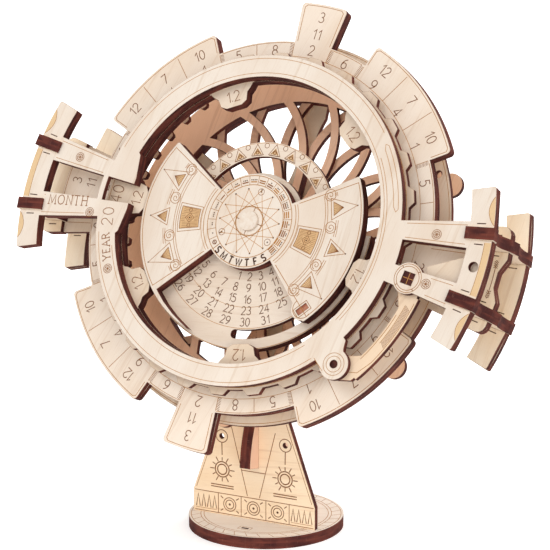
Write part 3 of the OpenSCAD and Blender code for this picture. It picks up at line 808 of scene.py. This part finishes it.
def engraveMonths():
    c, pen = monthRing, monthRing.pens
    m = Marks("month_marks", dialFace(c.depth), "month")
    for quarter in range(4):
        top = c.top - 90 * quarter
        for k, rows in c.numbers.items():
            a = top - k * sector
            for radius, digits in rows:
                m.write(digits, polar(radius, a), c.height, a - 90, pen.digit)
        for k, outer in enumerate(c.dividers):
            m.line(polar((c.inner, outer), top - (k + 0.5) * sector), pen.divider)

        # borders along the outlines of the tall tab, the wide one and the low sectors
        tab = c.tall
        m.line([polar(tab.side, top + tab.half),
                arc(tab.arc, top + tab.arcHalf, top - tab.arcHalf),
                polar(tab.side, top - tab.half)[::-1]], pen.tab)
        tab, low, high = c.wide, top - 4.5 * sector, top - 1.5 * sector
        inset = np.array(tab.inset)
        m.line([polar(tab.side, low + inset),
                arc(tab.arc, low + tab.arcInset, high - tab.arcInset),
                polar(tab.side, high - inset)[::-1]], pen.tab)
        fromWide, fromTall = c.lowInset
        for first, last in ((high + fromWide, top - fromTall),
                            (top + fromTall, top + 2.5 * sector - fromWide)):
            m.line(arc(c.lowLine, first, last), pen.low)

        # hatched strips on the borders of the low sectors
        s = c.strip
        for a in (high + s.fromWide, low - s.fromWide, top - s.fromTall, top + s.fromTall):
            for r in c.inner + s.step * np.arange(s.count):
                m.line([polar(r, a - s.half), polar(r + s.rise, a + s.half)], pen.hatch)
    m.circle(c.innerLine, pen.inner)
    m.finish()


frontFrame = Kit(
    # word: middle, height, direction of its baseline, pen, whether its strokes have feet
    words={"MONTH": ((-83.0, -8.3), 4.0, 8.0, (0.36, 0.62), True),
           "YEAR": (polar(63.0, 202.2), 3.4, 112.2, (0.36, 0.62), True),
           "20": (polar(62.9, 190.4), 5.2, 100.4, (0.32, 0.62), False)},
    # crossed circles: radius and angle of each
    crossed=((84.2, 172.9), (71.9, 189.0), (63.4, 210.6), (83.3, 6.6), (84.6, -6.7)),
    crossedSizes=(1.9, 1.3),
    # lines that follow the ring: radius, start, end
    rounds=((60.3, -31, 158), (60.3, 202, 314), (61.5, -30, 34), (66.2, 14, 37), (64.2, 15, 36),
            (66.4, 196, 314), (66.4, 42, 164)),
    # lines that run out along the arms: angle, inner radius
    arms=((4.9, 70.5), (9.4, 70.5), (-4.9, 85.9), (-9.4, 85.9), (175.1, 70.5), (170.6, 70.5),
          (184.9, 94.9), (189.4, 74.5)),
    # pointed ends of the lines at the upper right: angle and side, and the end's radii
    ends=((14, -1), (37, 1)), endRadii=(66.2, 65.2, 64.2), endPoint=0.9, armEnd=95.4,
    wordGap=0.27, key=(76.7, -6.9), keyRings=(4.7, 5.6), keyTicks=(38, 128, 218, 308),
    keyTop=0.4, keyHalf=2.3, pin=(73.7, -40.4), pinRings=(3.1, 4.4),
    pens=Kit(
        crossed=(0.24, 0.6), cross=(0.22, 0.6), round=(0.2, 0.4), arm=(0.2, 0.42),
        key=(0.24, 0.5), keyTick=(0.3, 0.6), pin=(0.2, 0.45), keyCross=(0.24, 0.25)))
handle = Kit(
    edge=105.8, strip=103.2, lens=(9.4, 15.5), lensDepth=2.4,
    strokes=(99.0, 102.6), strokeTurns=(5.2, 9.8), pens=Kit(edge=(0.2, 0.5), stroke=(0.42, 1.0)))


def strokeBars(m):
    # short dark strokes beside the cross plates
    for middle in (0, 180):
        for turn in handle.strokeTurns:
            for side in (-1, 1):
                m.line(polar(handle.strokes, middle + side * turn), handle.pens.stroke)


def toastBars(m):
    # a toasted strip between the cross plates, and a lens beyond each of them
    c, pen, share = handle, handle.pens, np.linspace(0, 1, 12)
    edge, strip, half = c.edge, c.strip, handleBar.middleReach
    for middle in (0, 180):
        m.patch([arc(edge, middle - half, middle + half),
                 arc(strip, middle + half, middle - half)])
        m.line(arc(strip, middle - half, middle + half), pen.edge)
        for side in (-1, 1):
            start, end = (middle + side * turn for turn in c.lens)
            inner = polar(edge - c.lensDepth * np.sin(share * math.pi) ** 0.8,
                          end + (start - end) * share)
            m.patch([arc(edge, start, end), inner[1:-1]])
            m.line(inner, pen.edge)


def engraveFront():
    c, pen = frontFrame, frontFrame.pens
    m = Marks("front_marks", dialFace(0))
    for word, (spot, height, turn, wordPen, feet) in c.words.items():
        m.write(word, np.array(spot), height, turn, wordPen, feet, c.wordGap)
    for radius, angle in c.crossed:
        spot = polar(radius, angle)
        m.circle(c.crossedSizes, pen.crossed, spot)
        for quarter in (0, 45, 90, 135):
            arm = polar(c.crossedSizes[1], angle + quarter)
            m.line([spot - arm, spot + arm], pen.cross)
    for radius, start, end in c.rounds:
        m.line(arc(radius, start, end), pen.round)
    for end, side in c.ends:
        m.line(polar(c.endRadii, (end, end + side * c.endPoint, end - side)), pen.round)
    for angle, root in c.arms:
        m.line(polar((root, c.armEnd), angle), pen.arm)

    # rings round the key and the pin
    key, pin = polar(*c.key), polar(*c.pin)
    m.circle(c.keyRings, pen.key, key)
    for turn in c.keyTicks:
        m.line(key + polar(c.keyRings, turn), pen.keyTick)
    m.circle(c.pinRings, pen.pin, pin)
    m.line([polar(66.9, -45.0), polar(73.7, -44.6) + polar(0.6, 130)], pen.round)
    toastBars(m)
    strokeBars(m)

    # the key is halved twice, which shows as a cross on its end
    cross = Marks("key_marks", dialFace(c.keyTop))
    for turn in (c.key[1], c.key[1] + 90):
        arm = polar(c.keyHalf, turn)
        cross.line([key - arm, key + arm], pen.keyCross)
    cross.finish()
    m.finish()


otherFrames = Kit(
    # frame: depth of its face, radius of the line round its ring
    rings=Kit(middle=(20.4, 79.2), rear=(41.0, 69.1)), arms=(72.0, 95.0),
    armTurns=(-8.9, -5.1, 5.1, 8.9), rightLine=(102.1, -3.4, 3.4),
    leftLine=(98.0, 176.2, 183.8),
    arrows=Kit(count=4, first=2.5, step=0.42, radii=(101.3, 102.1, 102.9), point=0.45),
    pens=Kit(
        arm=(0.22, 0.45), ring=(0.22, 0.4), right=(0.28, 0.72), left=(0.24, 0.5),
        arrow=(0.28, 0.8)))


def engraveOtherFrames():
    c, pen = otherFrames, otherFrames.pens
    for name, (depth, ring) in c.rings.items():
        m = Marks(name + "_marks", dialFace(depth))
        for middle in (0, 180):
            for turn in c.armTurns:
                m.line(polar(c.arms, middle + turn), pen.arm)
        m.circle(ring, pen.ring)
        m.finish()

        m = Marks(name + "_bar_marks", dialFace(depth - sheetThick))
        strokeBars(m)
        if name == "middle":
            m.line(arc(*c.rightLine), pen.right)
            m.line(arc(*c.leftLine), pen.left)
            arrows = c.arrows
            for side in (-1, 1):
                for step in range(arrows.count):
                    a = side * (arrows.first + arrows.step * step)
                    turns = (a, a + side * arrows.point, a)
                    m.line(polar(arrows.radii, turns), pen.arrow)
        m.finish()


clickArm = Kit(
    depth=2.4, outer=(82.5, -12.5, -32), tip=((81.6, -36.6), (77.6, -39.6)),
    inner=(78.3, -17.5, -33.5), stripLine=(79.6, -14.0, -26.5), strip=(79.8, 82.2),
    stripTurns=(-14, -26, 34), stripSlope=0.9,
    pens=Kit(outline=(0.22, 0.45), strip=(0.2, 0.5), hatch=(0.17, 0.66)))


def engraveClickArm():
    c, pen = clickArm, clickArm.pens
    m = Marks("click_arm_marks", dialFace(c.depth))
    m.line([arc(*c.outer), *(polar(*spot) for spot in c.tip)], pen.outline)
    m.line(arc(*c.inner), pen.outline)
    m.line(arc(*c.stripLine), pen.strip)
    low, high = c.strip
    for angle in np.linspace(*c.stripTurns):
        m.line([polar(low, angle), polar(high, angle - c.stripSlope)], pen.hatch)
    m.finish()


upright = Kit(
    half=27.8, band=(5.4, 14.0), posts=(-16.6, -5.8, 5.8, 16.6), rosettes=(-11.2, 0.0, 11.2),
    rosetteHeight=9.7, rosetteRings=(2.9, 1.9), corner=(4.3, 3.2), cornerShare=0.72,
    peaks=Kit(first=18.4, step=2.6, count=4, half=0.9, foot=7.0, top=12.4),
    footLine=(17.4, 27.4, 6.5), hole=(14.8, 38.7), holeRing=2.7, sun=(14.7, 24.4),
    sunRings=(2.2, 3.3), sunRays=(3.7, 5.2, 5.8), stem=(6.2, 2.8), shelves=(16.6, 17.6),
    shelfHalf=5.4,
    slants=Kit(line=((10.2, 43.3), (2.8, 14.6)), faint=((15.2, 47.6), (27.0, 15.4))),
    bridge=((-5.8, 25.4), (5.5, 25.4)),
    pens=Kit(
        line=(0.32, 0.66), ring=(0.36, 0.8), heart=(0.5, 0.9), stroke=(0.42, 0.8),
        foot=(0.2, 0.5), sun=(0.5, 0.8), stem=(0.44, 0.8), faint=(0.24, 0.55)))
baseDisc = Kit(
    rings=(31.2, 27.2, 25.9), slant=4, slot=((-0.7, -23.4), (4.7, -20.2)),
    pens=Kit(ring=(0.24, 0.45), tooth=(0.2, 0.5), slot=(0.22, 0.5)))


def engraveUpright():
    c, pen = upright, upright.pens
    m = Marks("upright_marks", standLooks["stand_upright"][1])
    low, high = c.band
    for z in (low, high):
        m.line([(-c.half, z), (c.half, z)], pen.line)
    for x in c.posts:
        m.line([(x, low), (x, high)], pen.line)
    for x in c.rosettes:
        spot = np.array((x, c.rosetteHeight))
        m.circle(c.rosetteRings, pen.ring, spot)
        m.dot(spot, pen.heart)
        for signs in ((-1, -1), (1, -1), (1, 1), (-1, 1)):
            corner = np.array(signs) * c.corner
            m.line([spot + corner, spot + corner * c.cornerShare], pen.stroke)

    for side in (-1, 1):
        peak = c.peaks
        for k in range(peak.count):
            x = side * (peak.first + peak.step * k)
            foot, top = peak.foot, peak.top
            m.line([(x - peak.half, foot), (x, top), (x + peak.half, foot)], pen.stroke)
        first, last, z = c.footLine
        m.line([(side * first, z), (side * last, z)], pen.foot)

        # a plain sun on a stem above the band, and a ring round each hole
        hole, sun = (np.array((side * x, z)) for x, z in (c.hole, c.sun))
        m.circle(c.holeRing, pen.ring, hole)
        m.circle(c.sunRings, pen.sun, sun)
        root, short, long = c.sunRays
        for angle in np.arange(0, 360, 30):
            m.line(sun + polar((root, short if angle % 60 else long), angle), pen.stroke)
        above, below = c.stem
        m.line([sun + (0, above), hole - (0, below)], pen.stem)
        for z in c.shelves:
            m.line([(sun[0] - c.shelfHalf, z), (sun[0] + c.shelfHalf, z)], pen.stem)
        for name, ends in c.slants.items():
            m.line([(side * x, z) for x, z in ends], pen[name])
    m.line(c.bridge, pen.line)
    m.finish()


def engraveBase():
    c, pen = baseDisc, baseDisc.pens
    m = Marks("base_marks", standLooks["base_disc_upper"][1])
    m.circle(c.rings, pen.ring)
    outer, inner = c.rings[:2]
    for angle in np.arange(0, 360, 10):
        m.line([polar(inner, angle), polar(outer, angle + c.slant)], pen.tooth)
    (left, front), (right, back) = c.slot
    m.line([(left, front), (right, front), (right, back), (left, back)], pen.slot, True)
    m.finish()


buildPlies()
engraveCover()
engraveDate()
engraveYear()
engraveMonths()
engraveFront()
engraveOtherFrames()
engraveClickArm()
engraveUpright()
engraveBase()

studio = Kit(
    ambient=0.70, air=(1.0, 0.962, 0.932, 1), floor=0.86, floorHalf=3.0, lift=0.42,
    fade=(0.12, 0.45))
scene.view_settings.view_transform = "Standard"

air = Recipe(bpy.data.worlds.new("studio_air"))
scene.world = air.owner
soft = air.add("Background", {}, {"Color": studio.air, "Strength": studio.ambient})
white = air.add("Background", {}, {"Color": (1, 1, 1, 1)})
seen = air.add("LightPath", pick="Is Camera Ray")
both = air.add("MixShader", {}, {0: seen, 1: soft, 2: white})
air.add("OutputWorld", {}, {"Surface": both})

floorMesh = bpy.data.meshes.new("floor")
half = studio.floorHalf
floorMesh.from_pydata([(-half, -half, 0), (half, -half, 0), (half, half, 0), (-half, half, 0)],
                      [], [(0, 1, 2, 3)])
paper = Recipe(bpy.data.materials.new("floor_paper"))
seen = paper.add("LightPath", pick="Is Camera Ray")
diffuse = paper.add("BsdfDiffuse", {}, {"Color": (studio.floor,) * 3 + (1,)})
spot = paper.add("TexCoord", pick="Object")
away = paper.add("VectorMath", {"operation": "LENGTH"}, {0: spot}, "Value")
fade = away.smooth(*studio.fade)      # the paper turns plain white away from the base
glow = paper.add("Emission", {}, {
    "Color": (1, 1, 1, 1), "Strength": seen * (studio.lift + fade * (1 - studio.lift))})
both = paper.add("AddShader", {}, {0: diffuse, 1: glow})
paper.add("OutputMaterial", {}, {"Surface": both})
floorMesh.materials.append(paper.owner)
place("floor", floorMesh)

lamps = {
    # lamp: its place, where it points, its size, its power, its tint, its spread in degrees
    "key_light": ((-0.40, -0.80, 0.90), (0, 0, 0.14), 0.6, 3.4, (1.0, 0.995, 0.985), 180),
    "fill_light": ((1.1, -0.9, 0.5), (0, 0, 0.12), 0.9, 2.6, (1.0, 0.985, 0.97), 180),
    "top_light": ((0.45, 0.35, 1.0), (0, 0, 0.05), 0.6, 4.6, (1.0, 0.985, 0.97), 180),
    "stand_light": ((0.32, -0.60, 0.05), (0, 0, 0.012), 0.06, 0.0075, (1.0, 0.985, 0.97), 15),
}
for name, (spot, target, size, watts, tint, spread) in lamps.items():
    lamp = bpy.data.lights.new(name, "AREA")
    lamp.shape, lamp.size, lamp.energy, lamp.color = "DISK", size, watts, tint
    lamp.spread = math.radians(spread)
    box = place(name, lamp)
    box.location = spot
    box.rotation_euler = (Vector(target) - Vector(spot)).to_track_quat("-Z", "Y").to_euler()

view = Kit(
    place=(0.4061, -0.75115, 0.28903), right=(0.8817, 0.4718, 0.0),
    back=(0.4613, -0.8621, 0.2096), lens=140.5)
lens = bpy.data.cameras.new("camera")
lens.lens, lens.sensor_width, lens.clip_start = view.lens, 36, 0.01
camera = place("camera", lens)
back = Vector(view.back).normalized()
right = Vector(view.right).normalized()
camera.matrix_world = Matrix.Translation(view.place) @ Matrix(
    (right, back.cross(right), back)).transposed().to_4x4()
scene.camera = camera
print("floor, light and camera set")
